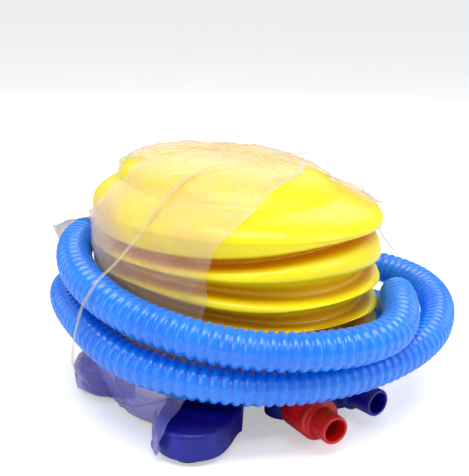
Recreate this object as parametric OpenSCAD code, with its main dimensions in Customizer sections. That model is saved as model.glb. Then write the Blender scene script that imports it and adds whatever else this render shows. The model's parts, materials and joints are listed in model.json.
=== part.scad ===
// Round bellows foot pump with a coiled ribbed hose, a film bag and a film strap.
// Units are millimetres, +Z is up, the origin is on the floor under the bellows axis.
// The operator faces the pump from -Y; the two nozzles point to the front right.

/* [Bellows] */
// Outside radius of the bellows at a fold crest
bellows_r = 75; // [60:0.5:90]
// Depth of a fold, crest to root
fold_depth = 6; // [3:0.5:10]
// Wall of the moulded bellows
bellows_wall = 1.8; // [1:0.1:3]
// Height of the seam between the dome and the folds
fold_top_z = 100; // [90:0.5:110]
// Height of the dome above the seam
dome_h = 30; // [20:0.5:45]
// Number of fold crests below the dome
fold_count = 5; // [3:1:6]

/* [Base] */
// Radius of the hub under the deck
hub_r = 62; // [50:0.5:70]
// Underside of the deck
deck_z = 25; // [20:0.5:30]
// Thickness of the deck
deck_t = 3.5; // [2.5:0.1:5]
// Radius of the deck
deck_r = 72.5; // [65:0.5:80]
// Height of the foot lobes
lobe_h = 17; // [10:0.5:22]
// Wall of the base moulding
base_wall = 2.5; // [1.5:0.1:4]
// Thickness of a rubber foot
foot_t = 3; // [2:0.1:5]

/* [Valve block and nozzles] */
// Distance of the air riser from the bellows axis
riser_r = 47.8; // [44:0.1:48]
// Distance of the outlet housing from the bellows axis
outlet_r = 56.3; // [54:0.1:60]
// Distance of the start of the inlet port from the bellows axis
inlet_r = 50; // [46:0.5:54]
// Direction the outlet port points, degrees to the right of -Y
outlet_dir = 38; // [30:0.5:60]
// Direction the inlet port points, degrees to the right of -Y
inlet_dir = 30.5; // [20:0.5:34]
// Height of both port axes
port_z = 14; // [13:0.5:15]
// Outside radius of a port tube
port_tube_r = 8; // [7.8:0.1:8.4]
// Bore radius of a port tube
port_bore_r = 6.5; // [6:0.1:6.8]
// Length of the outlet port tube
outlet_len = 17; // [16:0.5:24]
// Length of the inlet port tube
inlet_len = 29.5; // [26:0.5:36]
// Radius of the outlet nozzle collar
outlet_grip_r = 9.6; // [9.4:0.1:11]
// Radius of the inlet nozzle collar
inlet_grip_r = 10.8; // [9.6:0.1:10.9]
// Outside radius of a nozzle spigot
spigot_r = 7.25; // [6:0.05:7.4]
// Bore radius of a nozzle spigot
spigot_bore_r = 5.6; // [4:0.1:6]
// Length of a nozzle spigot beyond its collar
outlet_spigot_l = 15; // [8:0.5:20]
// Length of the inlet spigot beyond its collar
inlet_spigot_l = 12; // [6:0.5:20]

/* [Hose] */
// Outside radius of the hose
hose_r = 9.25; // [8:0.05:11]
// Bore radius of the hose
hose_bore_r = 7.6; // [6:0.1:9]
// Angle where the hose starts, degrees round from the front
hose_start = 225; // [225:1:250]
// Angle where the hose ends after almost two turns
hose_end = 876; // [840:1:900]
// Outside radius of the hose cuffs
cuff_r = 10.6; // [10:0.1:12]
// Length of a hose cuff
cuff_l = 24; // [18:0.5:30]

/* [Film] */
// Thickness of the film strap
strap_t = 0.5; // [0.3:0.05:1]
// Width of the film strap
strap_w = 3; // [2:0.5:8]
// Thickness of the bag film as a solid
film_t = 0.4; // [0.3:0.05:1]

/* [Hidden] */
$fn = 64;
eps = 0.01;
base_blue = [0.03, 0.05, 0.42];
hose_blue = [0.05, 0.36, 0.9];
yellow = [0.96, 0.86, 0.05];

deck_top = deck_z + deck_t;
flange_t = 2.5;
// foot lobes: [direction, reach, half width]
lobes = [[-15, 96, 18], [-85, 86, 22], [125, 88, 19]];
foot_at = [[-15, 84], [-85, 70], [125, 76]];
foot_in = 11;
housing_r = 12.5;
riser_bore_r = 6;
foot_r = 7.5;

function dirv(a) = [sin(a), -cos(a)];
riser_c = riser_r * dirv(55.6);
outlet_c = outlet_r * dirv(64.8);
inlet_c = inlet_r * dirv(inlet_dir);

// ---------- base ----------
// a lobe is a plate with a round end; the end is slightly wider than the plate
module lobe2d(l, d) {
    rotate(l[0] - 90) {
        translate([30, -(l[2] - 1.2 - d)]) square([l[1] - l[2] - 30, 2 * (l[2] - 1.2 - d)]);
        translate([l[1] - l[2], 0]) circle(r = l[2] - d);
    }
}
module port_at(c, a) translate([c[0], c[1], port_z]) rotate([90, 0, a]) children();
module outlet_axis() port_at(outlet_c, outlet_dir) children();
module inlet_axis() port_at(inlet_c, inlet_dir) children();
// a level tube between two points
module duct(p, q, r) port_at(p, atan2(q[0] - p[0], p[1] - q[1])) cylinder(r = r, h = norm(q - p), $fn = 48);
module polar(f) translate([f[1] * sin(f[0]), -f[1] * cos(f[0]), 0]) children();
module base_plate() color(base_blue) difference() {
    union() {
        // deck, short skirt, centre pillar and the ring that keeps the spring centred
        rotate_extrude($fn = 96) polygon([[hub_r, deck_z - 8.4], [hub_r, deck_z], [deck_r - 1, deck_z], [deck_r, deck_z + 1], [deck_r, deck_top],
            [31.5, deck_top], [31.5, deck_top + 5], [29.4, deck_top + 5], [29.4, deck_top], [3, deck_top], [3, deck_z],
            [18, deck_z], [18, foot_t + 2], [3, foot_t + 2], [3, foot_t], [20, foot_t], [20, deck_z], [hub_r - base_wall, deck_z], [hub_r - base_wall, deck_z - 8.4]]);
        // hollow lobes, stepped round the top edge
        for (l = lobes) difference() {
            union() {
                translate([0, 0, foot_t]) linear_extrude(lobe_h - foot_t - 1.4) lobe2d(l, 0);
                translate([0, 0, foot_t + 1]) linear_extrude(lobe_h - foot_t - 1) lobe2d(l, 1.3);
            }
            translate([0, 0, foot_t - 1]) linear_extrude(lobe_h - foot_t - base_wall + 1) lobe2d(l, base_wall);
            translate([0, 0, foot_t - 2]) cylinder(r = hub_r - 1.2, h = 30, $fn = 96);
        }
        // legs: the lobes carried up to the deck under the skirt
        for (l = lobes) intersection() {
            difference() {
                translate([0, 0, foot_t]) cylinder(r = hub_r - 0.6, h = deck_z - foot_t + 0.5, $fn = 96);
                translate([0, 0, foot_t - 1]) cylinder(r = hub_r - 3.1, h = 40, $fn = 96);
            }
            rotate(l[0] - 90) translate([30, -(l[2] - 2), 0]) cube([60, 2 * (l[2] - 2), 40]);
        }
        for (i = [0:2]) polar(foot_at[i]) translate([0, 0, foot_t]) cylinder(r = 5.5, h = lobe_h - foot_t - 1.8, $fn = 32);
        // ribs under the deck
        for (a = [-15, -85, 125, 200]) rotate(a - 90) translate([19, -1, foot_t + 4]) cube([hub_r - 20, 2, deck_z - foot_t - 3.5]);
    }
    for (i = [0:2]) polar(foot_at[i]) translate([0, 0, foot_t - 1]) cylinder(r = 3, h = 6, $fn = 32);
    // room for the valve block in the skirt
    outlet_axis() cylinder(r = port_tube_r + 0.6, h = 20);
    inlet_axis() cylinder(r = port_tube_r + 0.6, h = 24);
    translate([outlet_c[0], outlet_c[1], foot_t - 1]) cylinder(r = housing_r + 0.4, h = deck_z - foot_t + 1);
    translate([inlet_c[0], inlet_c[1], foot_t - 1]) cylinder(r = 10.8, h = deck_z - foot_t + 1);
    // notch in the skirt for the bar and screw heads of the valve block
    riser_at() translate([-18.6, -5, deck_z - 9]) cube([37.2, 10, 9]);
    // air hole and screw holes in the deck
    riser_at() translate([0, 0, deck_z - 1]) cylinder(r = riser_bore_r, h = 10);
    block_screw_at() translate([0, 0, deck_z - 1]) cylinder(r = 1.25, h = 3.6, $fn = 24);
    for (i = [0:5]) rotate(60 * i + 8) translate([58, 0, deck_top - 2.4]) cylinder(r = 1.15, h = 5, $fn = 24);
}
module rubber_feet() color([0.08, 0.08, 0.09]) {
    for (i = [0:2]) polar(foot_at[i]) {
        cylinder(r = foot_r, h = foot_t, $fn = 40);
        cylinder(r = 3, h = foot_t + 4.5, $fn = 32);
    }
    // one under the outlet housing and one under the centre pillar
    translate([outlet_c[0], outlet_c[1], 0]) {
        cylinder(r = foot_r, h = foot_t, $fn = 40);
        cylinder(r = 3, h = foot_t + 2.4, $fn = 32);
    }
    cylinder(r = foot_in, h = foot_t, $fn = 40);
    cylinder(r = 3, h = foot_t + 2.4, $fn = 32);
}

// ---------- valve block ----------
module riser_at() translate([riser_c[0], riser_c[1], 0]) rotate(atan2(outlet_c[1] - riser_c[1], outlet_c[0] - riser_c[0]) + 90) children();
module block_screw_at() riser_at() for (s = [-1, 1]) translate([14 * s, 0, 0]) children();
module valve_block() color(base_blue) difference() {
    union() {
        outlet_axis() cylinder(r = port_tube_r, h = outlet_len, $fn = 48);
        inlet_axis() cylinder(r = port_tube_r, h = inlet_len, $fn = 48);
        duct(riser_c, outlet_c, port_tube_r + 0.5);
        duct(inlet_c, riser_c, port_tube_r + 0.3);
        translate([outlet_c[0], outlet_c[1], foot_t]) cylinder(r = housing_r, h = deck_z - foot_t - 1.2, $fn = 64);
        translate([inlet_c[0], inlet_c[1], 5]) cylinder(r = 10.3, h = deck_z - 6.4, $fn = 48);
        riser_at() {
            translate([0, 0, 4.6]) cylinder(r = 9.6, h = deck_z - 5.6, $fn = 48);
            translate([-18, -4.5, deck_z - 4]) cube([36, 9, 2.5]);
        }
    }
    outlet_axis() cylinder(r = port_bore_r, h = outlet_len + 1, $fn = 48);
    inlet_axis() cylinder(r = port_bore_r - 0.9, h = inlet_len - 10, $fn = 48);
    inlet_axis() translate([0, 0, inlet_len - 14]) cylinder(r = port_bore_r, h = 20, $fn = 48);
    duct(riser_c, outlet_c, 5.2);
    duct(inlet_c, riser_c, 4.9);
    // round chambers where the passages meet
    translate([outlet_c[0], outlet_c[1], port_z - 7.1]) cylinder(r = 7.3, h = 14.2, $fn = 48);
    translate([inlet_c[0], inlet_c[1], port_z - 6.3]) cylinder(r = 6.4, h = 12.6, $fn = 48);
    riser_at() {
        translate([0, 0, port_z - 6.5]) cylinder(r = riser_bore_r, h = 20, $fn = 48);
        for (s = [-1, 1]) translate([14 * s, 0, 0]) cylinder(r = 1.5, h = 40, $fn = 24);
    }
    translate([outlet_c[0], outlet_c[1], 0]) cylinder(r = 3, h = foot_t + 2.4, $fn = 32);
}
module block_gasket() color([0.1, 0.1, 0.1]) riser_at() translate([0, 0, deck_z - 1]) difference() {
    cylinder(r = 9.4, h = 1, $fn = 48);
    translate([0, 0, -1]) cylinder(r = riser_bore_r, h = 3, $fn = 48);
}
module pan_screw(r_head, h_head, r_shaft, l) {
    translate([0, 0, -l]) cylinder(r = r_shaft, h = l + eps, $fn = 24);
    difference() {
        union() {
            cylinder(r = r_head, h = h_head * 0.6, $fn = 32);
            translate([0, 0, h_head * 0.6]) cylinder(r1 = r_head, r2 = r_head * 0.7, h = h_head * 0.4, $fn = 32);
        }
        for (a = [0, 90]) rotate(a) translate([-r_head * 0.6, -0.3, h_head * 0.45]) cube([r_head * 1.2, 0.6, h_head]);
    }
}
module block_screws() color([0.7, 0.7, 0.72]) block_screw_at() translate([0, 0, deck_z - 4]) mirror([0, 0, 1]) pan_screw(2.6, 1.8, 1.2, 6.4);

// ---------- nozzles and valves, drawn along +Z of the port ----------
module nozzle(l, skirt, spig, g, col) color(col)
    rotate_extrude($fn = 64) polygon([[port_tube_r + 0.06, l - skirt], [g - 0.5, l - skirt], [g, l - skirt + 0.5], [g, l + 1.9],
        [g - 0.6, l + 2.5], [spigot_r + 0.8, l + 2.5], [spigot_r, l + 3.4], [spigot_r, l + 2.5 + spig],
        [spigot_bore_r, l + 2.5 + spig], [spigot_bore_r, l + 0.8], [port_tube_r + 0.06, l + 0.8]]);
module seal_ring(l) color([0.1, 0.1, 0.1]) translate([0, 0, l]) difference() {
    cylinder(r = port_tube_r - 0.2, h = 0.8, $fn = 48);
    translate([0, 0, -1]) cylinder(r = port_bore_r, h = 3, $fn = 48);
}
// seat with two lugs; the flap lies on its +Z face and hangs from pins in the lugs
seat_t = 2;
flap_t = 0.9;
pin_y = 4.9;
pin_r = 0.5;
module seat() color([0.85, 0.86, 0.88]) difference() {
    union() {
        cylinder(r = port_bore_r, h = seat_t, $fn = 48);
        for (s = [-1, 1]) translate([s * 2.9 - 0.5, pin_y - 0.95, seat_t - 0.3]) cube([1, 1.3, 2]);
    }
    translate([0, -0.4, -1]) cylinder(r = 3.3, h = 5, $fn = 40);
    translate([-5, pin_y - 0.25, seat_t + 0.65]) rotate([0, 90, 0]) cylinder(r = pin_r + 0.05, h = 10, $fn = 24);
}
module flap() color([0.12, 0.12, 0.13]) {
    difference() {
        translate([0, -0.5, seat_t + 0.02]) cylinder(r = 5, h = flap_t, $fn = 40);
        translate([-6, pin_y - 1.5, 0]) cube([12, 5, 8]);
    }
    translate([-1.9, pin_y - 1.6, seat_t + 0.02]) cube([3.8, 1.4, flap_t]);
    translate([-3.6, pin_y - 0.25, seat_t + 0.65]) rotate([0, 90, 0]) cylinder(r = pin_r - 0.02, h = 7.2, $fn = 24);
}
module outlet_place() outlet_axis() translate([0, 0, outlet_len - 7]) children();
module inlet_place() inlet_axis() translate([0, 0, inlet_len - 5]) mirror([0, 0, 1]) children();
module outlet_nozzle() outlet_axis() nozzle(outlet_len, 4, outlet_spigot_l, outlet_grip_r, base_blue);
module inlet_nozzle() inlet_axis() nozzle(inlet_len, 16.7, inlet_spigot_l, inlet_grip_r, [0.78, 0.04, 0.04]);
module outlet_gasket() outlet_axis() seal_ring(outlet_len);
module inlet_gasket() inlet_axis() seal_ring(inlet_len);
module outlet_valve_seat() outlet_place() seat();
module inlet_valve_seat() inlet_place() seat();
module outlet_flap() outlet_place() flap();
module inlet_flap() inlet_place() flap();

// ---------- bellows ----------
fold_bottom = deck_top + flange_t + 1;
fold_pitch = (fold_top_z - 0.15 - fold_bottom) / (fold_count + 0.5);
fold_pts = concat(
    [[bellows_r - 2, fold_bottom - 1]],
    [for (i = [0:2 * fold_count]) [bellows_r - (i % 2 == 0 ? fold_depth : 0), fold_bottom + fold_pitch * (i / 2 + 0.25)]],
    [[bellows_r - 1.4, fold_top_z - 0.15]]);
module bellows_folds() color(yellow) rotate_extrude($fn = 96) {
    n = len(fold_pts);
    polygon(concat(fold_pts, [for (i = [n - 1:-1:0]) [fold_pts[i][0] - bellows_wall, fold_pts[i][1]]]));
    translate([60, deck_top]) square([bellows_r - 2 - 60, flange_t]);
    translate([bellows_r - 2 - bellows_wall, deck_top + 1]) square([bellows_wall, flange_t]);
}
dome_pts = [[bellows_r - 1.4, 0], [bellows_r, 2.4], [bellows_r - 0.6, 5], [bellows_r - 3.5, 8.3], [bellows_r - 9, 11.2], [60, 12.6],
    [58, 13.3], [57, 15.5], [55.5, 18.2], [51, 22.3], [44, 25.8], [30, dome_h - 1.4], [14, dome_h - 0.3], [0, dome_h]];
module dome_solid(d) rotate_extrude($fn = 96) polygon(concat(
    [[0, 0]], [for (p = dome_pts) [max(p[0] - d, 0), max(p[1] - d, 0)]]));
module bellows_dome() color(yellow) translate([0, 0, fold_top_z]) difference() {
    dome_solid(0);
    translate([0, 0, -eps]) dome_solid(bellows_wall);
    translate([0, 0, -1]) cylinder(r = bellows_r - 1.4 - bellows_wall, h = 2, $fn = 96);
}
module clamp_ring() color(base_blue) translate([0, 0, deck_top]) difference() {
    union() {
        cylinder(r = 59.8, h = flange_t + 0.1, $fn = 96);
        translate([0, 0, flange_t]) cylinder(r = 66, h = 2.5, $fn = 96);
    }
    translate([0, 0, -1]) cylinder(r = 55.6, h = 8, $fn = 96);
    for (i = [0:5]) rotate(60 * i + 8) translate([58, 0, -1]) cylinder(r = 1.4, h = 9, $fn = 24);
}
module clamp_screws() color([0.7, 0.7, 0.72]) for (i = [0:5]) rotate(60 * i + 8)
    translate([58, 0, deck_top + flange_t + 2.5]) pan_screw(2.3, 1.6, 1.15, 7.2);

// ---------- spring ----------
spring_mean_r = 26.8;
wire_r = 1.1;
spring_z0 = deck_top + wire_r;
plate_z = fold_top_z + dome_h - bellows_wall - 6;
spring_z1 = plate_z - wire_r;
spring_turns = 7.5;
spring_n = 22 * spring_turns;
function spring_pt(i) = let (u = i / spring_n, a = 360 * spring_turns * u,
    z = spring_z0 + (spring_z1 - spring_z0) * (u < 0.1 ? 0.2 * u : u > 0.9 ? 1 - 0.2 * (1 - u) : 0.02 + (u - 0.1) * 1.2))
    [spring_mean_r * cos(a), spring_mean_r * sin(a), z];
module return_spring() color([0.75, 0.76, 0.78]) {
    m = 6;
    pts = [for (i = [0:spring_n]) let (p = spring_pt(i), a = 360 * spring_turns * i / spring_n)
        for (k = [0:m - 1]) [p[0] + wire_r * cos(360 * k / m) * cos(a), p[1] + wire_r * cos(360 * k / m) * sin(a), p[2] + wire_r * sin(360 * k / m)]];
    faces = concat(
        [for (i = [0:spring_n - 1]) for (k = [0:m - 1]) [i * m + k, i * m + (k + 1) % m, (i + 1) * m + (k + 1) % m, (i + 1) * m + k]],
        [[for (k = [m - 1:-1:0]) k]], [[for (k = [0:m - 1]) spring_n * m + k]]);
    polyhedron(points = pts, faces = faces, convexity = 10);
}
module spring_plate() color([0.85, 0.86, 0.88]) translate([0, 0, plate_z]) {
    difference() {
        cylinder(r = 34, h = 2, $fn = 64);
        translate([0, 0, -1]) cylinder(r = 10, h = 8, $fn = 48);
    }
    translate([0, 0, -4]) difference() {
        cylinder(r = 25.2, h = 4 + eps, $fn = 64);
        translate([0, 0, -1]) cylinder(r = 23.4, h = 6, $fn = 64);
    }
    // posts that meet the crown of the dome
    for (a = [0:60:300]) rotate(a) translate([24, 0, 2 - eps]) cylinder(r = 3, h = 2.4 + eps, $fn = 24);
}

// ---------- hose ----------
// control rows of the coil: [angle round from the front, distance from the axis, height]
coil = [[225, 100, 34.4], [261, 94, 51.7], [297, 86.5, 51.1], [333, 90.9, 45.3], [369, 88.8, 39.9], [405, 92, 39],
    [441, 106.2, 43.1], [477, 116.9, 46.6], [513, 100, 49.1], [549, 93, 54.3], [585, 88.1, 70], [621, 85.3, 80.5],
    [657, 86.1, 76.1], [693, 89.6, 67.3], [729, 95, 60.1], [765, 98.9, 58.2], [801, 85.2, 59], [837, 98.9, 30.5],
    [873, 98.5, 27.6], [909, 103, 24.5]];
function crow(i) = coil[max(0, min(len(coil) - 1, i))];
function cr4(a, b, c, d, t) = 0.5 * (2 * b + (c - a) * t + (2 * a - 5 * b + 4 * c - d) * t * t + (3 * b - a - 3 * c + d) * t * t * t);
function hose_at(s) = let (k = min(len(coil) - 2, floor((s - 225) / 36)), t = (s - 225) / 36 - k,
    r = cr4(crow(k - 1)[1], crow(k)[1], crow(k + 1)[1], crow(k + 2)[1], t),
    z = cr4(crow(k - 1)[2], crow(k)[2], crow(k + 1)[2], crow(k + 2)[2], t))
    [r * sin(s), -r * cos(s), z];
function unit(v) = v / norm(v);
function hose_dir(s) = unit(hose_at(s + 0.5) - hose_at(s - 0.5));
function hose_side(s) = unit(cross(hose_dir(s), [0, 0, 1]));
function hose_up(s) = cross(hose_side(s), hose_dir(s));
module hose() color(hose_blue) {
    m = 12;
    n = 110;
    st = [for (i = [0:n]) hose_start + (hose_end - hose_start) * i / n];
    pts = concat(
        [for (s = st) for (k = [0:m - 1]) hose_at(s) + hose_r * (cos(360 * k / m) * hose_side(s) + sin(360 * k / m) * hose_up(s))],
        [for (s = st) for (k = [0:m - 1]) hose_at(s) + hose_bore_r * (cos(360 * k / m) * hose_side(s) + sin(360 * k / m) * hose_up(s))]);
    o = (n + 1) * m;
    faces = concat(
        [for (i = [0:n - 1]) for (k = [0:m - 1]) [i * m + (k + 1) % m, i * m + k, (i + 1) * m + k, (i + 1) * m + (k + 1) % m]],
        [for (i = [0:n - 1]) for (k = [0:m - 1]) [o + i * m + k, o + i * m + (k + 1) % m, o + (i + 1) * m + (k + 1) % m, o + (i + 1) * m + k]],
        [for (k = [0:m - 1]) [k, (k + 1) % m, o + (k + 1) % m, o + k]],
        [for (k = [0:m - 1]) [n * m + (k + 1) % m, n * m + k, o + n * m + k, o + n * m + (k + 1) % m]]);
    polyhedron(points = pts, faces = faces, convexity = 10);
}
module along(p, v) translate(p) rotate([0, acos(v[2]), atan2(v[1], v[0])]) children();
sleeve = 14;
module cuff() difference() {
    union() {
        translate([0, 0, -sleeve]) cylinder(r = cuff_r, h = cuff_l - 2, $fn = 48);
        translate([0, 0, cuff_l - 2 - sleeve - eps]) cylinder(r1 = cuff_r, r2 = cuff_r - 1.5, h = 2, $fn = 48);
    }
    translate([0, 0, -sleeve - 1]) cylinder(r = hose_r, h = sleeve + 1 + 0.2, $fn = 48);
    translate([0, 0, -1]) cylinder(r = spigot_r, h = 40, $fn = 48);
}
end_p = hose_at(hose_end);
end_d = hose_dir(hose_end - 0.6);
start_p = hose_at(hose_start);
start_d = -hose_dir(hose_start + 0.6);
module hose_cuff_pump_end() color(hose_blue) along(start_p, start_d) cuff();
module hose_cuff_tip_end() color(hose_blue) along(end_p, end_d) cuff();
module hose_tip() color(base_blue) along(end_p + (cuff_l - sleeve) * end_d, end_d) difference() {
    union() {
        translate([0, 0, -8]) cylinder(r = spigot_r, h = 8 + eps, $fn = 48);
        cylinder(r = 9, h = 2, $fn = 48);
        translate([0, 0, 2 - eps]) cylinder(r1 = 5.4, r2 = 3.4, h = 14, $fn = 40);
        translate([0, 0, 16 - 2 * eps]) cylinder(r = 3.4, h = 8, $fn = 40);
    }
    translate([0, 0, -9]) cylinder(r = 2, h = 40, $fn = 32);
}

// ---------- film ----------
module clear_bag() color([0.9, 0.88, 0.82, 0.5]) translate([0, 0, fold_top_z]) difference() {
    bag_solid(0.3 + film_t);
    bag_solid(0.3);
    translate([0, 0, -20]) cylinder(r = 90, h = 26, $fn = 48);
}
module bag_solid(d) rotate_extrude($fn = 64) polygon(concat(
    [[0, 0]], [for (p = dome_pts) [p[0] == 0 ? 0 : p[0] + d, p[1] + d]]));
strap_dir = -62;
strap_off = 14;
// inner outline of the strap in its own upright plane, [across, height]
strap_top = [[8, 131.7], [28, 130.6], [42.9, 127.9], [50.2, 124.3], [54, 121.2], [66, 112.9], [69, 111.3], [74.6, 107.5], [77.4, 103.5]];
strap_right = [[99, 84], [124.5, 58], [126.5, 44], [113, 24], [88, 8], [74, 1.4]];
strap_left = [[-74, 1.4], [-88, 12], [-97.5, 40], [-98.5, 58], [-96.5, 84]];
function grow(p, d) = let (c = [0, 60], v = p - c) c + v * (1 + d / norm(v));
strap_in = concat(strap_top, strap_right, strap_left, [for (i = [len(strap_top) - 1:-1:0]) [-strap_top[i][0], strap_top[i][1]]]);
module clear_strap() color([0.9, 0.9, 0.88, 0.5]) rotate(strap_dir + 90) translate([0, -strap_off, 0]) rotate([90, 0, 0])
    translate([0, 0, -strap_w / 2]) linear_extrude(strap_w) difference() {
        polygon([for (p = strap_in) [p[0], p[1] < 5 ? p[1] - strap_t : grow(p, strap_t)[1]] + [p[1] < 5 ? 0 : grow(p, strap_t)[0] - p[0], 0]]);
        polygon(strap_in);
    }

base_plate();
rubber_feet();
valve_block();
block_gasket();
block_screws();
bellows_dome();
bellows_folds();
clamp_ring();
clamp_screws();
return_spring();
spring_plate();
outlet_nozzle();
inlet_nozzle();
outlet_gasket();
inlet_gasket();
outlet_valve_seat();
inlet_valve_seat();
outlet_flap();
inlet_flap();
hose();
hose_cuff_pump_end();
hose_cuff_tip_end();
hose_tip();
clear_bag();
clear_strap();
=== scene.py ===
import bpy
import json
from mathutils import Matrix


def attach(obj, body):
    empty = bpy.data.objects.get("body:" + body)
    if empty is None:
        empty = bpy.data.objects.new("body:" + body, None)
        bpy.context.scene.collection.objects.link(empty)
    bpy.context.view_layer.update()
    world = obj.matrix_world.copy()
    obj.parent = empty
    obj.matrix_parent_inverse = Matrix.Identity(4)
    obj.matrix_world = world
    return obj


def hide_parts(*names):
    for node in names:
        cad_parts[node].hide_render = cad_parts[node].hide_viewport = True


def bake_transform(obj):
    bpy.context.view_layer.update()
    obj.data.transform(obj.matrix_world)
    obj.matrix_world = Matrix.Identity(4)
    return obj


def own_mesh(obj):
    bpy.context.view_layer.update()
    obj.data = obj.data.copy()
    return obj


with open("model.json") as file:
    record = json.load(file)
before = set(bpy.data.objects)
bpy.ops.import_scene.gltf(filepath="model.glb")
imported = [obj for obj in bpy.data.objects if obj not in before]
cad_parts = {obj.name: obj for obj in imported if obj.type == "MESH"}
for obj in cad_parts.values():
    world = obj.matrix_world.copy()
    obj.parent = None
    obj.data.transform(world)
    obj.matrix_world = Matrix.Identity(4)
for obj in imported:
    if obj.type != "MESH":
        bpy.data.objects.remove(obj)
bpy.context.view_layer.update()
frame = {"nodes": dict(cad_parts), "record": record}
import json, math
import bpy
import numpy as np
from mathutils import Vector, Matrix, noise

N = frame["nodes"]
MM = 0.001
TAU = 2 * math.pi
rng = np.random.default_rng(7)


# ------------------------------------------------------------------ helpers
def srgb(r, g, b):
    f = lambda c: c / 12.92 if c <= 0.04045 else ((c + 0.055) / 1.055) ** 2.4
    return (f(r / 255), f(g / 255), f(b / 255), 1.0)


def material(name, col, dark, rough=(0.3, 0.45), scale=40.0, bump=0.1, fine=900.0, spec=0.5, coat=0.0, metal=0.0,
             cavity_shade=None, cavity_shade_mm=10.0, edge=0.0, sss=0.0, aniso_z=1.0, streak=0.0):
    """Plastic, rubber or steel with colour drift, roughness drift, a fine grain, painted shade in cavities and painted
    highlights on convex edges.
    """
    m = bpy.data.materials.new(name)
    m.use_nodes = True
    t = m.node_tree
    n, l = t.nodes, t.links
    n.clear()
    out = n.new("ShaderNodeOutputMaterial")
    p = n.new("ShaderNodeBsdfPrincipled")
    l.new(p.outputs[0], out.inputs[0])
    co = n.new("ShaderNodeTexCoord")
    mp = n.new("ShaderNodeMapping")
    mp.inputs["Scale"].default_value = (1, 1, aniso_z)
    l.new(co.outputs["Object"], mp.inputs[0])
    big = n.new("ShaderNodeTexNoise")
    big.inputs["Scale"].default_value = scale
    big.inputs["Detail"].default_value = 5
    l.new(mp.outputs[0], big.inputs["Vector"])
    mix = n.new("ShaderNodeMix")
    mix.data_type = "RGBA"
    mix.inputs[6].default_value = col
    mix.inputs[7].default_value = dark
    mr = n.new("ShaderNodeMapRange")
    mr.inputs[1].default_value = 0.4
    mr.inputs[2].default_value = 0.75
    l.new(big.outputs[0], mr.inputs[0])
    l.new(mr.outputs[0], mix.inputs[0])
    colour = mix.outputs[2]
    # painted shade: an ambient occlusion mask darkens recesses toward the cavity colour
    if cavity_shade is not None:
        ao = n.new("ShaderNodeAmbientOcclusion")
        ao.inputs["Distance"].default_value = cavity_shade_mm * MM
        ao.samples = 6
        ao.only_local = True
        cavity_shade_mask = n.new("ShaderNodeMapRange")
        cavity_shade_mask.inputs[1].default_value = 0.25
        cavity_shade_mask.inputs[2].default_value = 0.85
        cavity_shade_mask.inputs[3].default_value = 1.0
        cavity_shade_mask.inputs[4].default_value = 0.0
        l.new(ao.outputs["AO"], cavity_shade_mask.inputs[0])
        cavity_shade_mix = n.new("ShaderNodeMix")
        cavity_shade_mix.data_type = "RGBA"
        cavity_shade_mix.inputs[7].default_value = cavity_shade
        l.new(cavity_shade_mask.outputs[0], cavity_shade_mix.inputs[0])
        l.new(colour, cavity_shade_mix.inputs[6])
        colour = cavity_shade_mix.outputs[2]
    # painted highlight: convex edges are lightened toward a brighter copy of the colour by pointiness
    if edge > 0:
        g = n.new("ShaderNodeNewGeometry")
        edge_highlight_mask = n.new("ShaderNodeMapRange")
        edge_highlight_mask.inputs[1].default_value = 0.52
        edge_highlight_mask.inputs[2].default_value = 0.62
        edge_highlight_mask.inputs[4].default_value = edge
        l.new(g.outputs["Pointiness"], edge_highlight_mask.inputs[0])
        edge_highlight_mix = n.new("ShaderNodeMix")
        edge_highlight_mix.data_type = "RGBA"
        edge_highlight_mix.inputs[7].default_value = tuple(min(1, c * 1.6 + 0.05) for c in col[:3]) + (1,)
        l.new(edge_highlight_mask.outputs[0], edge_highlight_mix.inputs[0])
        l.new(colour, edge_highlight_mix.inputs[6])
        colour = edge_highlight_mix.outputs[2]
    l.new(colour, p.inputs["Base Color"])
    rn = n.new("ShaderNodeTexNoise")
    rn.inputs["Scale"].default_value = scale * 3.1
    rn.inputs["Detail"].default_value = 6
    l.new(mp.outputs[0], rn.inputs["Vector"])
    rr = n.new("ShaderNodeMapRange")
    rr.inputs[1].default_value = 0.3
    rr.inputs[2].default_value = 0.7
    rr.inputs[3].default_value = rough[0]
    rr.inputs[4].default_value = rough[1]
    l.new(rn.outputs[0], rr.inputs[0])
    l.new(rr.outputs[0], p.inputs["Roughness"])
    fn = n.new("ShaderNodeTexNoise")
    fn.inputs["Scale"].default_value = fine
    fn.inputs["Detail"].default_value = 3
    l.new(mp.outputs[0], fn.inputs["Vector"])
    b = n.new("ShaderNodeBump")
    b.inputs["Strength"].default_value = bump
    b.inputs["Distance"].default_value = 0.0002
    l.new(fn.outputs[0], b.inputs["Height"])
    b2 = n.new("ShaderNodeBump")
    b2.inputs["Strength"].default_value = 0.25
    b2.inputs["Distance"].default_value = 0.0006
    l.new(big.outputs[0], b2.inputs["Height"])
    l.new(b.outputs[0], b2.inputs["Normal"])
    l.new(b2.outputs[0], p.inputs["Normal"])
    p.inputs["Metallic"].default_value = metal
    p.inputs["Specular IOR Level"].default_value = spec
    p.inputs["Coat Weight"].default_value = coat
    p.inputs["Coat Roughness"].default_value = 0.12
    if sss > 0:
        p.inputs["Subsurface Weight"].default_value = sss
        p.inputs["Subsurface Scale"].default_value = 0.004
        p.inputs["Subsurface Radius"].default_value = (1.0, 0.6, 0.1)
    m.diffuse_color = col
    return m


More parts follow.
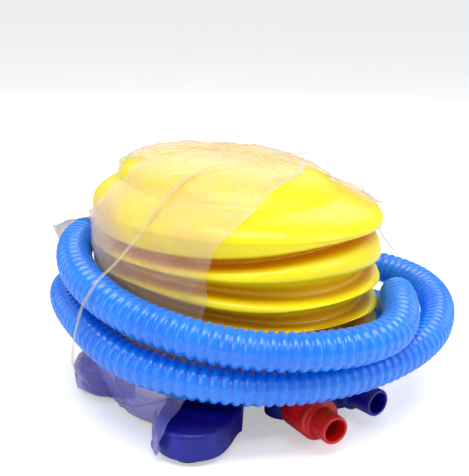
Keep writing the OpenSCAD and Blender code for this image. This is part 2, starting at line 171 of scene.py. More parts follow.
def film(name, tint, haze, edge_haze, rough=0.16, hang=0.0):
    """Thin clear film: mostly see-through, milkier where it is seen edge on and along its creases."""
    m = bpy.data.materials.new(name)
    m.use_nodes = True
    t = m.node_tree
    n, l = t.nodes, t.links
    n.clear()
    out = n.new("ShaderNodeOutputMaterial")
    p = n.new("ShaderNodeBsdfPrincipled")
    tr = n.new("ShaderNodeBsdfTransparent")
    tr.inputs[0].default_value = (1.0, 0.985, 0.96, 1)
    mixs = n.new("ShaderNodeMixShader")
    l.new(tr.outputs[0], mixs.inputs[1])
    l.new(p.outputs[0], mixs.inputs[2])
    l.new(mixs.outputs[0], out.inputs[0])
    co = n.new("ShaderNodeTexCoord")
    nz = n.new("ShaderNodeTexNoise")
    nz.inputs["Scale"].default_value = 38
    nz.inputs["Detail"].default_value = 6
    nz.inputs["Distortion"].default_value = 1.2
    l.new(co.outputs["Object"], nz.inputs["Vector"])
    cr = n.new("ShaderNodeMix")
    cr.data_type = "RGBA"
    cr.inputs[6].default_value = tint
    cr.inputs[7].default_value = tuple(c * 0.86 for c in tint[:3]) + (1,)
    l.new(nz.outputs[0], cr.inputs[0])
    # painted reflection: low down the film is tinted with the base's blue and made milkier
    s0 = n.new("ShaderNodeSeparateXYZ")
    l.new(co.outputs["Object"], s0.inputs[0])
    low_painted_blue_mask = n.new("ShaderNodeMapRange")
    low_painted_blue_mask.inputs[1].default_value = 0.036
    low_painted_blue_mask.inputs[2].default_value = 0.022
    low_painted_blue_mask.inputs[4].default_value = 1.0 if hang > 0 else 0.0
    l.new(s0.outputs[2], low_painted_blue_mask.inputs[0])
    painted_base_blue_mix = n.new("ShaderNodeMix")
    painted_base_blue_mix.data_type = "RGBA"
    painted_base_blue_mix.inputs[7].default_value = srgb(118, 116, 206)
    l.new(low_painted_blue_mask.outputs[0], painted_base_blue_mix.inputs[0])
    l.new(cr.outputs[2], painted_base_blue_mix.inputs[6])
    l.new(painted_base_blue_mix.outputs[2], p.inputs["Base Color"])
    p.inputs["Roughness"].default_value = rough
    rr = n.new("ShaderNodeMapRange")
    rr.inputs[3].default_value = rough * 0.7
    rr.inputs[4].default_value = rough * 1.6
    l.new(nz.outputs[0], rr.inputs[0])
    l.new(rr.outputs[0], p.inputs["Roughness"])
    lw = n.new("ShaderNodeLayerWeight")
    lw.inputs[0].default_value = 0.35
    fr = n.new("ShaderNodeMapRange")
    fr.inputs[1].default_value = 0.15
    fr.inputs[2].default_value = 0.95
    fr.inputs[3].default_value = haze
    fr.inputs[4].default_value = edge_haze
    l.new(lw.outputs["Facing"], fr.inputs[0])
    hz = n.new("ShaderNodeMath")
    hz.operation = "MULTIPLY_ADD"
    hz.inputs[1].default_value = 0.30
    l.new(nz.outputs[0], hz.inputs[0])
    sub = n.new("ShaderNodeMath")
    sub.operation = "SUBTRACT"
    sub.inputs[1].default_value = 0.15
    l.new(fr.outputs[0], sub.inputs[0])
    l.new(sub.outputs[0], hz.inputs[2])
    # milkier where it hangs loose past the left side
    sx = n.new("ShaderNodeSeparateXYZ")
    l.new(co.outputs["Object"], sx.inputs[0])
    hr = n.new("ShaderNodeMapRange")
    hr.inputs[1].default_value = -0.055
    hr.inputs[2].default_value = -0.082
    hr.inputs[4].default_value = hang
    l.new(sx.outputs[0], hr.inputs[0])
    ad = n.new("ShaderNodeMath")
    ad.operation = "ADD"
    ad.use_clamp = True
    zr = n.new("ShaderNodeMapRange")
    zr.inputs[1].default_value = 0.050
    zr.inputs[2].default_value = 0.072
    l.new(sx.outputs[2], zr.inputs[0])
    hm = n.new("ShaderNodeMath")
    hm.operation = "MULTIPLY"
    l.new(hr.outputs[0], hm.inputs[0])
    l.new(zr.outputs[0], hm.inputs[1])
    l.new(hz.outputs[0], ad.inputs[0])
    l.new(hm.outputs[0], ad.inputs[1])
    # painted reflection: more of the painted base blue shows low down
    lh = n.new("ShaderNodeMath")
    lh.operation = "MULTIPLY_ADD"
    lh.use_clamp = True
    lh.inputs[1].default_value = 0.34
    l.new(low_painted_blue_mask.outputs[0], lh.inputs[0])
    l.new(ad.outputs[0], lh.inputs[2])
    l.new(lh.outputs[0], mixs.inputs[0])
    fine = n.new("ShaderNodeTexNoise")
    fine.inputs["Scale"].default_value = 160
    fine.inputs["Detail"].default_value = 4
    l.new(co.outputs["Object"], fine.inputs["Vector"])
    b = n.new("ShaderNodeBump")
    b.inputs["Strength"].default_value = 0.35
    b.inputs["Distance"].default_value = 0.0006
    l.new(fine.outputs[0], b.inputs["Height"])
    l.new(b.outputs[0], p.inputs["Normal"])
    m.diffuse_color = tuple(tint[:3]) + (0.4,)
    return m


def mesh_obj(name, verts, faces, mat, smooth=True):
    me = bpy.data.meshes.new(name)
    me.from_pydata([tuple(v) for v in verts], [], faces)
    me.validate()
    if smooth:
        me.polygons.foreach_set("use_smooth", [True] * len(me.polygons))
    me.materials.append(mat)
    me.update()
    o = bpy.data.objects.new(name, me)
    bpy.context.scene.collection.objects.link(o)
    return o


def grid_faces(n, m, wrap_m=False, wrap_n=False, off=0, flip=False):
    f = []
    for i in range(n if wrap_n else n - 1):
        for j in range(m if wrap_m else m - 1):
            a, b = off + i * m + j, off + i * m + (j + 1) % m
            c, d = off + ((i + 1) % n) * m + (j + 1) % m, off + ((i + 1) % n) * m + j
            f.append((a, d, c, b) if flip else (a, b, c, d))
    return f


def catmull(P, t):
    """P (n,k), t in [0,n-1] -> points"""
    P = np.asarray(P, float)
    n = len(P)
    t = np.asarray(t, float)
    k = np.clip(np.floor(t).astype(int), 0, n - 2)
    f = (t - k)[:, None]
    g = lambda i: P[np.clip(i, 0, n - 1)]
    a, b, c, d = g(k - 1), g(k), g(k + 1), g(k + 2)
    return 0.5 * (2 * b + (c - a) * f + (2 * a - 5 * b + 4 * c - d) * f ** 2 + (3 * b - a - 3 * c + d) * f ** 3)


def lathe(name, profile, mat, seg=96, radial=None, place=None, closed=True):
    """Revolve (r, z) rows in mm round Z; radial(theta, r, z) may change r; place is a 4x4 in metres."""
    P = np.array(profile, float)
    th = np.arange(seg) * TAU / seg
    V = np.zeros((len(P), seg, 3))
    for i, (r, z) in enumerate(P):
        rr = np.full(seg, r) if radial is None else radial(th, r, z)
        V[i, :, 0], V[i, :, 1], V[i, :, 2] = rr * np.cos(th), rr * np.sin(th), z
    V = V.reshape(-1, 3) * MM
    if place is not None:
        M = np.array(place)
        V = V @ M[:3, :3].T + M[:3, 3]
    F = grid_faces(len(P), seg, wrap_m=True, wrap_n=closed)
    return mesh_obj(name, V, F, mat)


def rounded(pts, r=0.5, k=3):
    """Round the corners of a closed (r, z) loop, in mm."""
    P = [np.array(p, float) for p in pts]
    out = []
    for i, p in enumerate(P):
        a, b = P[i - 1], P[(i + 1) % len(P)]
        la, lb = np.linalg.norm(a - p), np.linalg.norm(b - p)
        q = min(r, 0.42 * la, 0.42 * lb)
        s, e = p + (a - p) / la * q, p + (b - p) / lb * q
        for j in range(k + 1):
            t = j / k
            out.append(tuple((1 - t) ** 2 * s + 2 * t * (1 - t) * p + t * t * e))
    return out


def axis_frame(p, d):
    d = np.array(d, float)
    d /= np.linalg.norm(d)
    x = np.cross([0, 0, 1.0], d)
    if np.linalg.norm(x) < 1e-6:
        x = np.array([1.0, 0, 0])
    x /= np.linalg.norm(x)
    y = np.cross(d, x)
    M = np.eye(4)
    M[:3, 0], M[:3, 1], M[:3, 2], M[:3, 3] = x, y, d, np.array(p, float) * MM
    return M


# ------------------------------------------------------------------ materials
# cavity colours below are painted shade in the recesses; edge values add a painted highlight on convex edges
M_yellow = material("bellows_vinyl", srgb(250, 232, 6), srgb(243, 218, 2), rough=(0.26, 0.4), scale=22, bump=0.12, fine=700, spec=0.45,
                    cavity_shade=srgb(226, 146, 0), cavity_shade_mm=9, sss=0.05, coat=0.08)
M_hose = material("hose_vinyl", srgb(2, 130, 246), srgb(0, 112, 238), rough=(0.2, 0.34), scale=30, bump=0.08, fine=900, spec=0.6, coat=0.25,
                  cavity_shade=srgb(0, 46, 196), cavity_shade_mm=3.4)
M_base = material("base_plastic", srgb(5, 7, 150), srgb(3, 4, 126), rough=(0.28, 0.44), scale=45, bump=0.12, fine=1300, spec=0.5, edge=0.18, cavity_shade=srgb(1, 1, 62), cavity_shade_mm=8)
M_red = material("red_plastic", srgb(206, 12, 10), srgb(178, 6, 8), rough=(0.26, 0.42), scale=60, bump=0.12, fine=1300, spec=0.5, edge=0.3, cavity_shade=srgb(110, 0, 0), cavity_shade_mm=4)
M_white = material("natural_plastic", srgb(228, 226, 220), srgb(212, 209, 200), rough=(0.4, 0.58), scale=60, bump=0.12, fine=1200)
M_black = material("black_rubber", srgb(26, 26, 28), srgb(40, 40, 42), rough=(0.62, 0.85), scale=90, bump=0.35, fine=1500, spec=0.3)
M_steel = material("plated_steel", srgb(190, 192, 196), srgb(160, 162, 168), rough=(0.2, 0.38), scale=120, bump=0.1, fine=2000, metal=1.0)
M_film = film("bag_film", srgb(246, 226, 206), 0.13, 0.42, hang=0.34)
M_strap = film("strap_film", srgb(232, 216, 180), 0.25, 0.6, rough=0.1)

SLOT_MAT = {"base_blue": M_base, "black_rubber": M_black, "steel": M_steel, "bellows_yellow": M_yellow, "white_plastic": M_white,
            "nozzle_red": M_red, "hose_blue": M_hose, "clear_film": M_film}
for s in frame["record"]["subparts"]:
    o = N[s["node"]]
    o.data.materials.clear()
    o.data.materials.append(SLOT_MAT[s["material_slot"]])

# ------------------------------------------------------------------ bellows
K = 75.0
# rings down the outside: centre height, slope and bow across X, radius, sideways shift
RINGS = [
    (130.0, -0.07, 0, 0.01, -6), (129.6, -0.07, 0, 15, -6), (128.6, -0.07, 0, 30, -6), (125.2, -0.07, 0, 44, -6), (121.4, -0.07, 0, 51.5, -6),
    (117.6, -0.07, 0, 55.2, -5.2), (115.0, -0.07, 0, 57.0, -4.4), (113.2, -0.065, 0, 60.5, -3.2), (110.6, -0.055, 0, 67.5, -1.4), (107.6, -0.048, 0, 72.6, -0.4),
    (104.0, -0.04, 0, 75.0, 0), (100.4, -0.03, -0.6, 74.6, 0),
]
# knots across X (at X / K = -1, -.5, 0, .33, .66, .9, 1): lower crest edge of each fold, then the top of the next one
KNOT_X = [-1, -0.5, 0, 0.33, 0.66, 0.9, 1]
EDGE = [[97, 96, 97.1, 98.2, 99.5, 99, 97], [86.5, 87, 85.5, 84.1, 83.6, 82.4, 80], [76, 76, 71.9, 69, 70, 69.7, 67], [64, 63.5, 60, 59.2, 58.6, 56.5, 54],
        [49, 49, 48.4, 47.6, 47, 46, 45], [37.6, 37.6, 37.3, 37, 36.8, 36.6, 36.4]]
TOP = [[92, 90.5, 91, 92.7, 94.5, 94, 93], [80, 79.5, 76.5, 73.5, 72.3, 72.5, 73], [69, 68, 63.2, 59.7, 58, 58, 58.5], [56, 55, 52.5, 51.5, 51, 48, 47.5],
       [42, 42, 41.6, 41.2, 41, 40.5, 40], [32.5] * 7]


def knots(z):
    return np.polyfit(KNOT_X, z, 4)[::-1]


rows = [[r[0], r[1] * K, r[2], 0, 0, r[3], r[4]] for r in RINGS[:-1]]
for i in range(6):
    e, t0 = knots(EDGE[i]), knots(TOP[i])
    if i == 0:
        up = np.array([104.0, -0.04 * K, 0, 0, 0])
        down = ((0.25, 75.1), (0.55, 75.1), (0.85, 75.0), (1.0, 74.6))
    else:
        up = knots(TOP[i - 1])
        down = ((0.0, 66.5), (0.14, 70.5), (0.34, 73.3), (0.6, 74.6), (0.85, 75.1), (1.0, 74.8))
    for t, r in down:
        rows.append(list(up * (1 - t) + e * t) + [r, 0])
    for t, r in ((0.12, 73.4), (0.32, 70.6), (0.54, 67.4), (0.72, 65.7), (0.88, 65.4)):
        rows.append(list(e * (1 - t) + t0 * t) + [r, 0])
for z, r in ((32.4, 66.2), (31.6, 70.0), (31.0, 72.4), (29.6, 73.0), (28.7, 72.8)):
    rows.append([z, 0, 0, 0, 0, r, 0])
rows = np.array(rows, float)
n_ctl = len(rows)
T = np.linspace(0, n_ctl - 1, (n_ctl - 1) * 4 + 1)
prof = catmull(rows, T)
prof[:, 5] = np.maximum(prof[:, 5], 0.01)
SEG = 256
ph = np.arange(SEG) * TAU / SEG


def ring_points(row, phi, shrink=0.0, drop=0.0):
    z0, a, b, c, d, R, ox = row
    R = max(R - shrink, 0.01)
    x = R * np.sin(phi) / K
    return np.stack([ox + R * np.sin(phi), -R * np.cos(phi), z0 + a * x + b * x ** 2 + c * x ** 3 + d * x ** 4 - drop], -1)


def bellows_mesh():
    outer = np.array([ring_points(r, ph) for r in prof])
    # mould parting line, a hand-blown unevenness, and a slight sag between pleats
    for i in range(outer.shape[0]):
        R = prof[i, 5]
        if R < 2:
            continue
        rad = np.stack([np.sin(ph), -np.cos(ph), np.zeros(SEG)], -1)
        seam = np.zeros(SEG)
        for s0 in (17, 197):
            dphi = (np.degrees(ph) - s0 + 180) % 360 - 180
            seam += 0.28 * np.exp(-(dphi * R / 57.3 / 0.7) ** 2)
        wob = np.array([noise.noise(Vector((2.2 * math.sin(p), 2.2 * math.cos(p), outer[i, 0, 2] * 0.035))) for p in ph]) * 0.5
        wob2 = np.array([noise.noise(Vector((7 * math.sin(p), 7 * math.cos(p), outer[i, 0, 2] * 0.11 + 5))) for p in ph]) * 0.16
        outer[i] += rad * (seam + wob + wob2)[:, None] * min(1, R / 40)
    # the wall: follow the same rings 1.6 mm in
    inner = []
    for r in prof[::-1]:
        rr = r.copy()
        inner.append(ring_points(rr, ph, shrink=1.7, drop=1.7 if r[0] > 112 else 0.0))
    inner = np.array(inner)
    V = np.concatenate([outer, inner]).reshape(-1, 3) * MM
    n = outer.shape[0] + inner.shape[0]
    F = grid_faces(n, SEG, wrap_m=True)
    # close both poles
    F.append(tuple(range(SEG)))
    base = (n - 1) * SEG
    F.append(tuple(base + SEG - 1 - j for j in range(SEG)))
    return V, F


V, F = bellows_mesh()
bellows = mesh_obj("bellows_skin", V, F, M_yellow)
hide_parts("bellows_dome", "bellows_folds")
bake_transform(bellows)

# ------------------------------------------------------------------ base
LOBES = [(-15, 96, 18), (-85, 86, 22), (125, 88, 19)]


def base_outline(phi_deg):
    r = np.full(len(phi_deg), 62.0)
    for a, reach, hw in LOBES:
        d = np.radians((phi_deg - a + 180) % 360 - 180)
        c, s = np.cos(d), np.abs(np.sin(d)) + 1e-9
        r1 = hw / s
        dd = reach - hw
        disc = hw ** 2 - (dd * s) ** 2
        r2 = np.where(disc > 0, dd * c + np.sqrt(np.maximum(disc, 0)), 0)
        rr = np.where((c > 0) & (r1 * c <= dd), r1, np.where((c > 0) & (disc > 0), r2, 0))
        r = np.maximum(r, rr)
    return r


def smooth_ring(r, s):
    n = len(r)
    k = np.fft.fftfreq(n, 1 / n)
    return np.real(np.fft.ifft(np.fft.fft(r) * np.exp(-0.5 * (k * s / 57.3) ** 2)))


BSEG = 540
bphi = np.arange(BSEG) * 360.0 / BSEG
B_OUT = smooth_ring(base_outline(bphi), 1.6)
brad = np.radians(bphi)


def base_mesh():
    hub = 62.0
    R = np.maximum(B_OUT, hub)
    rows_ = []
    o = lambda off: np.maximum(R - off, hub - off)
    def top(off):
        return np.maximum(R - off, hub + 0.0)
    rows_.append((np.full(BSEG, 0.01), 3.0))
    rows_.append((np.full(BSEG, 19.4), 3.0))
    rows_.append((np.full(BSEG, 20.0), 3.6))
    rows_.append((np.full(BSEG, 20.0), 24.6))
    rows_.append((np.full(BSEG, 20.6), 25.0))
    rows_.append((np.full(BSEG, 58.6), 25.0))
    rows_.append((np.full(BSEG, 59.4), 24.2))
    rows_.append((np.full(BSEG, 59.5), 14.6))
    rows_.append((np.maximum(R - 3.4, 59.6), 14.5))
    rows_.append((R - 2.4, 13.5))
    rows_.append((R - 2.3, 3.3))
    rows_.append((R - 2.0, 3.0))
    rows_.append((R - 0.6, 3.0))
    rows_.append((R - 0.15, 3.2))
    rows_.append((R, 3.7))
    rows_.append((R, 9.0))
    rows_.append((R - 0.1, 14.0))
    for k in range(1, 6):
        a = k / 5 * math.pi / 2
        rows_.append((np.maximum(R - 3.0 + 3.0 * math.cos(a), hub), 14.0 + 3.0 * math.sin(a)))
    rows_.append((np.maximum((R - 3.0) * 0.66 + (hub + 2.4) * 0.34, hub), 17.15))
    rows_.append((np.maximum((R - 3.0) * 0.33 + (hub + 2.4) * 0.67, hub), 17.25))
    rows_.append((np.minimum(np.maximum(R - 3.0, hub), hub + 2.4), 17.3))
    rows_.append((np.minimum(np.maximum(R - 3.0, hub), hub + 0.7), 17.9))
    rows_.append((np.full(BSEG, hub), 19.4))
    rows_.append((np.full(BSEG, hub), 23.0))
    rows_.append((np.full(BSEG, hub + 0.4), 24.4))
    rows_.append((np.full(BSEG, hub + 1.6), 25.0))
    rows_.append((np.full(BSEG, 71.2), 25.0))
    rows_.append((np.full(BSEG, 72.2), 25.4))
    rows_.append((np.full(BSEG, 72.5), 26.2))
    rows_.append((np.full(BSEG, 72.5), 27.7))
    rows_.append((np.full(BSEG, 72.1), 28.3))
    rows_.append((np.full(BSEG, 71.4), 28.5))
    rows_.append((np.full(BSEG, 31.6), 28.5))
    rows_.append((np.full(BSEG, 31.5), 33.2))
    rows_.append((np.full(BSEG, 31.2), 33.5))
    rows_.append((np.full(BSEG, 29.7), 33.5))
    rows_.append((np.full(BSEG, 29.4), 33.2))
    rows_.append((np.full(BSEG, 29.4), 28.5))
    rows_.append((np.full(BSEG, 0.01), 28.5))
    Vv = []
    # between the lobes the wall is only a short skirt
    bare = R < hub + 0.3
    for i, (r, z) in enumerate(rows_):
        zz = np.full(BSEG, z)
        if i > 5:
            zz = np.where(bare, np.maximum(zz, 16.6 + 0.04 * (i - 6)), zz)
        Vv.append(np.stack([r * np.sin(brad), -r * np.cos(brad), zz], -1))
    Vv = np.array(Vv).reshape(-1, 3) * MM
    n = len(rows_)
    Ff = grid_faces(n, BSEG, wrap_m=True)
    Ff.append(tuple(range(BSEG)))
    Ff.append(tuple((n - 1) * BSEG + BSEG - 1 - j for j in range(BSEG)))
    # ribs under the deck
    for a in (-15, -85, 125, 200):
        s_, c_ = math.sin(math.radians(a)), -math.cos(math.radians(a))
        k = len(Vv)
        q = [(s_ * r - c_ * w_, c_ * r + s_ * w_, z) for z in (7.0, 25.2) for r, w_ in ((19, -1), (60.5, -1), (60.5, 1), (19, 1))]
        Vv = np.concatenate([Vv, np.array(q) * MM])
        Ff += [(k + 3, k + 2, k + 1, k), (k + 4, k + 5, k + 6, k + 7)] + [(k + j, k + (j + 1) % 4, k + 4 + (j + 1) % 4, k + 4 + j) for j in range(4)]
    return Vv, Ff


V, F = base_mesh()
base = mesh_obj("base_shell", V, F, M_base)
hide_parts("base_plate")
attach(base, "base")

# ------------------------------------------------------------------ ports
PORT_Z = 14.0
OUT_C, OUT_DIR = (50.94, -23.97), 38.0
IN_C, IN_DIR = (25.38, -43.08), 30.5


def port_frame(c, a):
    a = math.radians(a)
    M = np.eye(4)
    M[:3, 0] = (math.cos(a), math.sin(a), 0)
    M[:3, 1] = (0, 0, 1)
    M[:3, 2] = (math.sin(a), -math.cos(a), 0)
    M[:3, 3] = (c[0] * MM, c[1] * MM, PORT_Z * MM)
    return M


def nozzle(name, l, skirt, spig, g, c, a, mat, node):
    s, b, t = 7.25, 5.6, 8.06
    z1 = l + 2.5 + spig
    loop = [(t, l - skirt), (g - 0.4, l - skirt), (g, l - skirt + 0.5), (g, l + 1.7), (g - 0.8, l + 2.5), (s + 0.9, l + 2.5), (s + 0.2, l + 2.9), (s, l + 3.8),
            (s, z1 - 0.8), (s - 0.4, z1), (b + 0.35, z1), (b, z1 - 0.5), (b, l + 0.8), (t, l + 0.8)]
    o = lathe(name, rounded(loop, 0.6, 4), mat, seg=144, place=port_frame(c, a))
    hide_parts(node)
    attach(o, "base")
    return o


nozzle("nozzle_blue", 17, 4, 15, 9.6, OUT_C, OUT_DIR, M_base, "outlet_nozzle")
nozzle("nozzle_red", 29.5, 16.7, 12, 10.8, IN_C, IN_DIR, M_red, "inlet_nozzle")

# small edges on the moulded and metal pieces that come straight from the frame
for nm, w in (("valve_block", 0.35), ("rubber_feet", 0.5), ("spring_plate", 0.3), ("clamp_ring", 0.3)):
    bv = N[nm].modifiers.new("edges", "BEVEL")
    bv.width = w * MM
    bv.segments = 2
    bv.limit_method = "ANGLE"
    bv.angle_limit = math.radians(50)

# ------------------------------------------------------------------ spring
def spring():
    r0, w, z0, z1, turns = 26.8, 1.1, 29.6, 121.1, 7.5
    n, m = int(turns * 40), 12
    V_ = []
    for i in range(n + 1):
        u = i / n
        f = 0.2 * u if u < 0.1 else (1 - 0.2 * (1 - u) if u > 0.9 else 0.02 + (u - 0.1) * 1.2)
        a = TAU * turns * u
        z = z0 + (z1 - z0) * f
        for k in range(m):
            b = TAU * k / m
            V_.append(((r0 + w * math.cos(b)) * math.cos(a) * MM, (r0 + w * math.cos(b)) * math.sin(a) * MM, (z + w * math.sin(b)) * MM))
    F_ = grid_faces(n + 1, m, wrap_m=True)
    F_.append(tuple(range(m)))
    F_.append(tuple(n * m + m - 1 - k for k in range(m)))
    return mesh_obj("spring_wire", V_, F_, M_steel)


sp = spring()
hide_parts("return_spring")
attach(sp, "base")
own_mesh(sp)

# ------------------------------------------------------------------ hose
COIL = np.array([[225, 100, 34.4], [261, 94, 51.7], [297, 86.5, 51.1], [333, 90.9, 45.3], [369, 88.8, 39.9], [405, 92, 39],
                 [441, 106.2, 43.1], [477, 116.9, 46.6], [513, 100, 49.1], [549, 93, 54.3], [585, 88.1, 70], [621, 85.3, 80.5],
                 [657, 86.1, 76.1], [693, 89.6, 67.3], [729, 95, 60.1], [765, 98.9, 58.2], [801, 85.2, 59], [837, 98.9, 30.5],
                 [873, 98.5, 27.6], [909, 103, 24.5]], float)
S0, S1 = 225.0, 876.0


def hose_at(s):
    s = np.atleast_1d(np.asarray(s, float))
    q = catmull(COIL[:, 1:], (s - 225) / 36)
    a = np.radians(s)
    return np.stack([q[:, 0] * np.sin(a), -q[:, 0] * np.cos(a), q[:, 1]], -1)


ss = np.linspace(S0, S1, 6000)
HP = hose_at(ss)
arc = np.concatenate([[0], np.cumsum(np.linalg.norm(np.diff(HP, axis=0), axis=1))])
HLEN = arc[-1]
PITCH = 4.85
PER = 9
n_rib = int(HLEN / PITCH)
PITCH = HLEN / n_rib
n_ring = n_rib * PER + 1
along = np.linspace(0, HLEN, n_ring)
sa = np.interp(along, arc, ss)
C = hose_at(sa)
Tn = np.gradient(C, axis=0)
Tn /= np.linalg.norm(Tn, axis=1)[:, None]
Sd = np.cross(Tn, [0, 0, 1.0])
Sd /= np.linalg.norm(Sd, axis=1)[:, None]
Up = np.cross(Sd, Tn)
HM = 32
th = np.arange(HM) * TAU / HM
phase = (along / PITCH) % 1.0
gr = np.clip(0.5 + 0.5 * np.cos(TAU * phase), 0, 1) ** 1.7
r_out = 9.25 - 1.15 * gr
jit = np.array([noise.noise(Vector((a * 0.02, 0.3, 7.1))) for a in along]) * 0.10
r_out = r_out + np.minimum(jit, 0)
VH = C[:, None, :] + r_out[:, None, None] * (np.cos(th)[None, :, None] * Sd[:, None, :] + np.sin(th)[None, :, None] * Up[:, None, :])
pick = np.linspace(0, n_ring - 1, 240).astype(int)
VI = C[pick][:, None, :] + 7.4 * (np.cos(th)[None, :, None] * Sd[pick][:, None, :] + np.sin(th)[None, :, None] * Up[pick][:, None, :])
V = np.concatenate([VH.reshape(-1, 3), VI.reshape(-1, 3)]) * MM
F = grid_faces(n_ring, HM, wrap_m=True, flip=True) + grid_faces(len(pick), HM, wrap_m=True, off=n_ring * HM)
o2 = n_ring * HM
for j in range(HM):
    k = (j + 1) % HM
    F.append((j, o2 + j, o2 + k, k))
    a, b = (n_ring - 1) * HM, o2 + (len(pick) - 1) * HM
    F.append((a + k, b + k, b + j, a + j))
hose = mesh_obj("hose_ribbed", V, F, M_hose)
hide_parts("hose")
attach(hose, "base")


def hose_dir(s):
    v = (hose_at(s + 0.5) - hose_at(s - 0.5))[0]
    return v / np.linalg.norm(v)


end_p, end_d = hose_at(S1)[0], hose_dir(S1 - 0.6)
start_p, start_d = hose_at(S0)[0], -hose_dir(S0 + 0.6)


def cuff(name, p, d, node):
    loop = [(9.35, -14), (10.2, -14), (10.6, -13.6), (10.6, -11.6), (10.15, -11.0), (10.15, -10.2), (10.6, -9.6), (10.6, -7.6), (10.15, -7.0), (10.15, -6.2),
            (10.6, -5.6), (10.6, -3.0), (10.25, -1.6), (10.1, 2.0), (10.1, 6.0), (10.5, 7.0), (10.5, 9.0), (9.8, 10.0), (7.7, 10.0), (7.28, 9.4), (7.28, 0.4), (9.35, 0.4)]
    o = lathe(name, rounded(loop, 0.35, 2), M_hose, seg=72, place=axis_frame(p, d))
    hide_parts(node)
    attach(o, "base")


cuff("cuff_pump_end", start_p, start_d, "hose_cuff_pump_end")
cuff("cuff_tip_end", end_p, end_d, "hose_cuff_tip_end")
tip_loop = [(2, -8), (6.8, -8), (7.2, -7.6), (7.2, -0.2), (9.0, 0), (9.0, 2.0), (5.8, 2.4), (5.3, 3.2), (4.9, 7.0), (5.15, 7.6), (4.6, 9.4), (4.2, 11.6), (4.45, 12.2), (3.9, 13.8), (3.4, 16.2), (3.4, 23.3), (3.0, 24.0), (2.3, 24.0), (2.0, 23.6)]
tipo = lathe("tip_nozzle", rounded(tip_loop, 0.3, 2), M_base, seg=64, place=axis_frame(end_p + 10 * end_d, end_d))
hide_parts("hose_tip")
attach(tipo, "base")

# ------------------------------------------------------------------ film bag
# rows of the surface the film lies on: the dome, then straight down the fold crests, then out round the base
ENV = np.array([[130.0, -0.07 * K, 0, 0.01, -6], [128.6, -0.07 * K, 0, 30, -6], [125.2, -0.07 * K, 0, 44, -6], [121.4, -0.07 * K, 0, 51.5, -6], [117.4, -0.07 * K, 0, 56.0, -5],
                [114.5, -0.068 * K, 0, 60.5, -4], [110.8, -0.055 * K, 0, 68.0, -1.4], [104.0, -0.04 * K, 0, 75.2, 0],
                [95.0, 0, -3, 75.2, 0], [84.4, -5.5, -5.4, 75.2, 0], [70, -11.5, -1.5, 75.2, 0], [57, -8.5, -1.5, 75.2, 0], [44, -4.5, -0.5, 75.2, 0],
                [33, 0, 0, 75.1, 0], [27.5, 0, 0, 75.4, 0]], float)
LOW = [(24.0, 76.0, 0.0), (20.5, 76.5, 0.5), (15.0, 75.5, 1.0), (9.0, 73.0, 1.0), (4.2, 71.0, 1.0)]


def env_point(u, phi):
    """u in rows of ENV (then LOW), phi in radians from the front, going right."""
    q = catmull(ENV, np.array([min(u, len(ENV) - 1)]))[0]
    if u <= len(ENV) - 1:
        R = max(q[3], 0.01)
        x = R * math.sin(phi) / K
        return np.array([q[4] + R * math.sin(phi), -R * math.cos(phi), q[0] + q[1] * x + q[2] * x * x])
    v = u - (len(ENV) - 1)
    L = np.array([[27.5, 75.4, 0.0]] + [list(l) for l in LOW])
    z, r, f = catmull(L, np.array([min(v, len(LOW))]))[0]
    out = np.interp(math.degrees(phi) % 360, np.append(bphi, 360), np.append(F_OUT, F_OUT[0]))
    r = r * (1 - f) + max(out + 1.6, r * 0.985) * f if f > 0 else r
    return np.array([r * math.sin(phi), -r * math.cos(phi), z])


F_OUT = smooth_ring(base_outline(bphi), 5.0)
F_OUT = np.maximum(F_OUT, B_OUT)
# free edges, as (row u, angle in degrees)
EDGE_R = np.array([[0, 74], [1.6, 74], [1.9, 62], [2.15, 46], [2.6, 32], [3.3, 22], [4.6, 14], [5.6, 8], [6.4, 0], [7.0, -5], [7.7, -8], [8.6, -10], [9.6, -10], [10.6, -12], [12.5, -15], [14, -17], [16, -19], [19, -21]])
EDGE_L = np.array([[0, -66], [2.2, -66], [3.1, -61], [4.2, -62], [5.2, -65], [6.4, -64.5], [7.0, -68], [7.3, -78], [7.6, -92], [8.2, -101], [9.5, -104], [12, -106], [14, -108], [16, -108], [19, -104]])
BACK_A = np.array([[0, 74], [1.6, 74], [2.0, 84], [3.0, 88], [4.2, 85], [5.3, 79], [6.0, 76], [6.6, 82], [7.0, 98], [7.6, 118], [8.6, 126]])
BACK_B = np.array([[0, 294], [2.2, 294], [3.0, 276], [4.0, 262], [5.5, 250], [7.0, 240], [8.6, 236]])


def crease(u, phi, seed):
    """Height in mm of the creases of a loosely draped film."""
    p = Vector((u * 0.55 + seed, phi * 2.0, seed * 1.7))
    a = noise.noise(p) * 1.2
    q = Vector((u * 0.35 + phi * 1.7 + seed, phi * 6.5 - u * 0.55, 3.1 + seed))
    b = 1 - abs(noise.noise(q)) * 2.4
    q2 = Vector((u * 1.4 - phi * 2.2, phi * 4.0 + u * 0.9, 9.3 + seed))
    c = 1 - abs(noise.noise(q2)) * 2.8
    return max(0.0, a * 0.55 + 0.45) + 0.9 * max(0.0, b) ** 3 + 0.7 * max(0.0, c) ** 4


def normal_at(u, phi):
    e = 0.03
    a = env_point(u + e, phi) - env_point(max(u - e, 0), phi)
    b = env_point(u, phi + 0.01) - env_point(u, phi - 0.01)
    n_ = np.cross(a, b)
    L = np.linalg.norm(n_)
    if L < 1e-9:
        return np.array([0, 0, 1.0])
    n_ = n_ / L
    p = env_point(u, phi)
    if n_[2] < -0.2 and p[2] > 100:
        n_ = -n_
    if np.dot(n_[:2], p[:2]) < 0 and p[2] < 112:
        n_ = -n_
    if p[2] > 118 and n_[2] < 0:
        n_ = -n_
    return n_


